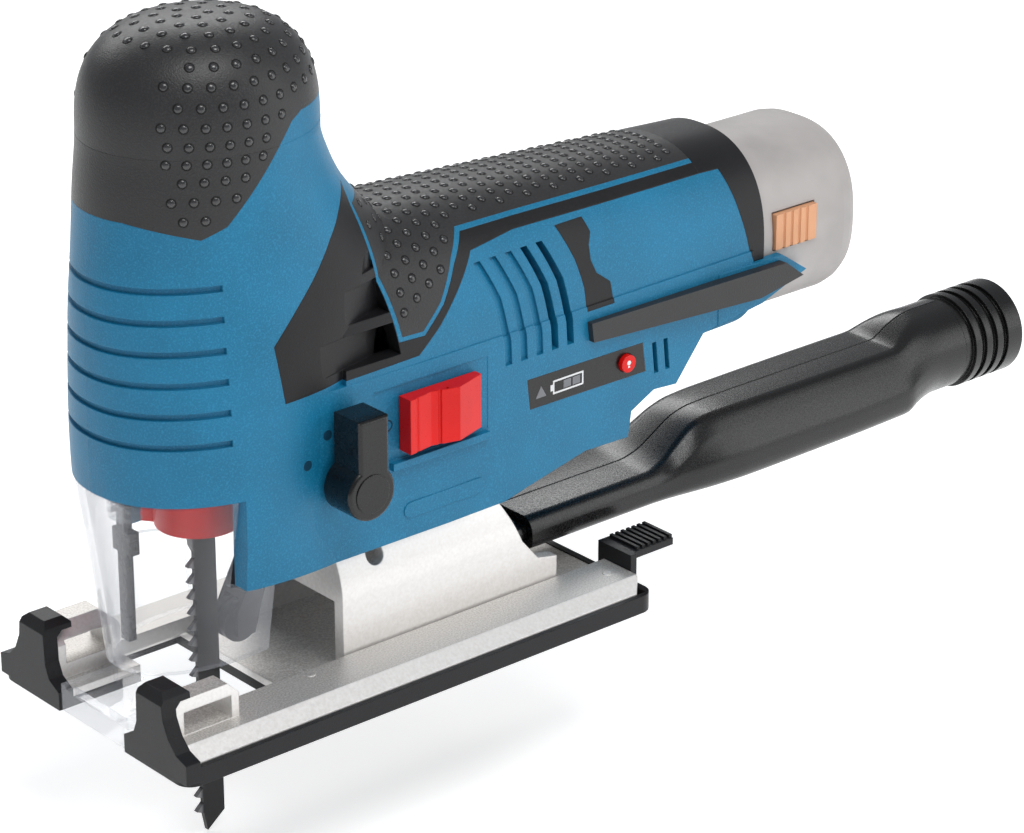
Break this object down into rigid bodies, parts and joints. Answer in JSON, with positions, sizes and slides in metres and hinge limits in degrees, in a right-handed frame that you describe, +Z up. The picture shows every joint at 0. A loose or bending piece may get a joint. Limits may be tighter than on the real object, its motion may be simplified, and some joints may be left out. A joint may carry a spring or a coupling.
{
  "type": "cordless barrel-grip jigsaw",
  "caption": "Cordless barrel-grip jigsaw with bevelling shoe, clip-on glide shoe, dust tube, slide switch, orbit lever, clear blade guard and removable battery.",
  "frame": {"origin": "on the sole of the shoe, on the centre line, under the bevel saddle", "axes": "+X runs back along the barrel to the battery and hose end, -Y is the side with the switch, +Z is up"},
  "size_m": [0.298, 0.075, 0.2012],
  "materials": {
    "blue_shell": "fine moulded grain",
    "grip_rubber": "soft dimpled rubber",
    "black_plastic": "moulded, fine grain",
    "gloss_black": "smooth moulded",
    "red_plastic": "smooth moulded",
    "clear_plastic": "clear moulding",
    "bright_plate": "speckled cast face, bright flanks",
    "steel": "ground",
    "black_steel": "dark coated blade steel",
    "case_alloy": "die cast",
    "bronze": "sintered bronze",
    "copper": "copper segments",
    "magnet": "ferrite",
    "brush_carbon": "pressed carbon",
    "board_green": "coated board",
    "pack_grey": "moulded, fine grain",
    "cell_sleeve": "sleeved steel can",
    "pack_accent": "smooth moulded",
    "lamp_lens": "clear lens"
  },
  "bodies": {
    "base": {"base_plate": "bright_plate", "glide_shoe": "black_plastic"},
    "splinter": {"splinter_guard": "clear_plastic"},
    "dust_tube": {"tube_left": "black_plastic", "tube_right": "black_plastic", "hose_cuff": "black_plastic"},
    "rotor": {"rotor_shaft": "steel", "armature": "copper", "commutator": "copper", "cooling_fan": "black_plastic", "pinion": "steel"},
    "crank": {"crank_gear": "steel", "crank_pin": "steel", "crank_roller": "steel"},
    "plunger": {"push_rod": "steel", "yoke": "steel", "blade_holder": "steel", "saw_blade": "black_steel"},
    "clamp_ring": {"clamp_ring": "red_plastic"},
    "roller_arm": {"roller_arm": "black_steel"},
    "guide_roller": {"guide_roller": "black_steel"},
    "orbit_selector": {"orbit_selector": "gloss_black"},
    "power_switch": {"slide_switch": "red_plastic"},
    "light_button": {"light_button": "red_plastic"},
    "battery": {"battery_case": "pack_grey", "battery_cells": "cell_sleeve"},
    "latch_left": {"latch_left": "pack_accent"},
    "latch_right": {"latch_right": "pack_accent"},
    "guard": {"blade_guard": "clear_plastic"},
    "housing": {"housing_left": "blue_shell", "housing_right": "blue_shell", "head_grip": "grip_rubber", "barrel_grip": "grip_rubber", "rear_collar": "black_plastic", "side_trim_left": "black_plastic", "side_trim_right": "black_plastic", "vent_trims": "black_plastic", "bumper_rails": "grip_rubber", "control_panel": "gloss_black", "switch_module": "black_plastic", "housing_screws": "steel", "bevel_bolt": "steel", "saddle_washer": "steel", "bevel_nut": "steel", "crank_arbor": "steel", "gear_case": "case_alloy", "lower_bush": "bronze", "upper_bush": "bronze", "arm_bracket": "black_steel", "finger_bar": "black_steel", "work_lamp": "lamp_lens", "motor_can": "case_alloy", "motor_magnets": "magnet", "front_bearing": "steel", "rear_bearing": "steel", "motor_end_cap": "black_plastic", "carbon_brushes": "brush_carbon", "circuit_board": "board_green", "terminal_block": "black_plastic", "contact_blades": "copper"}
  },
  "joints": [
    {"name": "bevel_tilt", "type": "hinge", "parent": "base", "child": "housing", "pos_m": [0, 0, 0.0216], "axis": [1, 0, 0], "range_deg": [-45, 45]},
    {"name": "splinter_slide", "type": "slide", "parent": "base", "child": "splinter", "axis": [-1, 0, 0], "range_m": [0, 0.022]},
    {"name": "dust_tube_slide", "type": "slide", "parent": "base", "child": "dust_tube", "axis": [1, 0, 0], "range_m": [0, 0.045]},
    {"name": "rotor_spin", "type": "hinge", "parent": "housing", "child": "rotor", "pos_m": [0, 0, 0.079], "axis": [1, 0, 0], "continuous": true},
    {"name": "crank_spin", "type": "hinge", "parent": "housing", "child": "crank", "pos_m": [-0.03, 0, 0.101], "axis": [1, 0, 0], "continuous": true},
    {"name": "blade_stroke", "type": "slide", "parent": "housing", "child": "plunger", "axis": [0, 0, 1], "range_m": [-0.014, 0.004]},
    {"name": "blade_clamp_turn", "type": "hinge", "parent": "plunger", "child": "clamp_ring", "pos_m": [-0.048, 0, 0.048], "axis": [0, 0, 1], "range_deg": [0, 60]},
    {"name": "roller_arm_swing", "type": "hinge", "parent": "housing", "child": "roller_arm", "pos_m": [-0.032, 0, 0.051], "axis": [0, -1, 0], "range_deg": [0, 2]},
    {"name": "guide_roller_spin", "type": "hinge", "parent": "roller_arm", "child": "guide_roller", "pos_m": [-0.0386, 0, 0.0155], "axis": [0, 1, 0], "continuous": true},
    {"name": "orbit_select", "type": "hinge", "parent": "housing", "child": "orbit_selector", "pos_m": [-0.027, -0.03, 0.057], "axis": [0, -1, 0], "range_deg": [0, 90]},
    {"name": "switch_slide", "type": "slide", "parent": "housing", "child": "power_switch", "axis": [-1, 0, 0], "range_m": [0, 0.005]},
    {"name": "lamp_press", "type": "slide", "parent": "housing", "child": "light_button", "axis": [0, 1, 0], "range_m": [0, 0.0008], "stiffness_N_per_m": 1000, "springref_m": -0.0004},
    {"name": "battery_slide", "type": "slide", "parent": "housing", "child": "battery", "axis": [1, 0, 0], "range_m": [0, 0.07]},
    {"name": "latch_left_press", "type": "slide", "parent": "battery", "child": "latch_left", "axis": [0, 1, 0], "range_m": [0, 0.001], "stiffness_N_per_m": 1500, "springref_m": -0.0005},
    {"name": "latch_right_press", "type": "slide", "parent": "battery", "child": "latch_right", "axis": [0, -1, 0], "range_m": [0, 0.001], "stiffness_N_per_m": 1500, "springref_m": -0.0005},
    {"name": "guard_slide", "type": "slide", "parent": "housing", "child": "guard", "axis": [-1, 0, 0], "range_m": [0, 0.006]}
  ],
  "couplings": [
    {"joint": "crank_spin", "follows": "rotor_spin", "ratio": -0.22222}
  ]
}
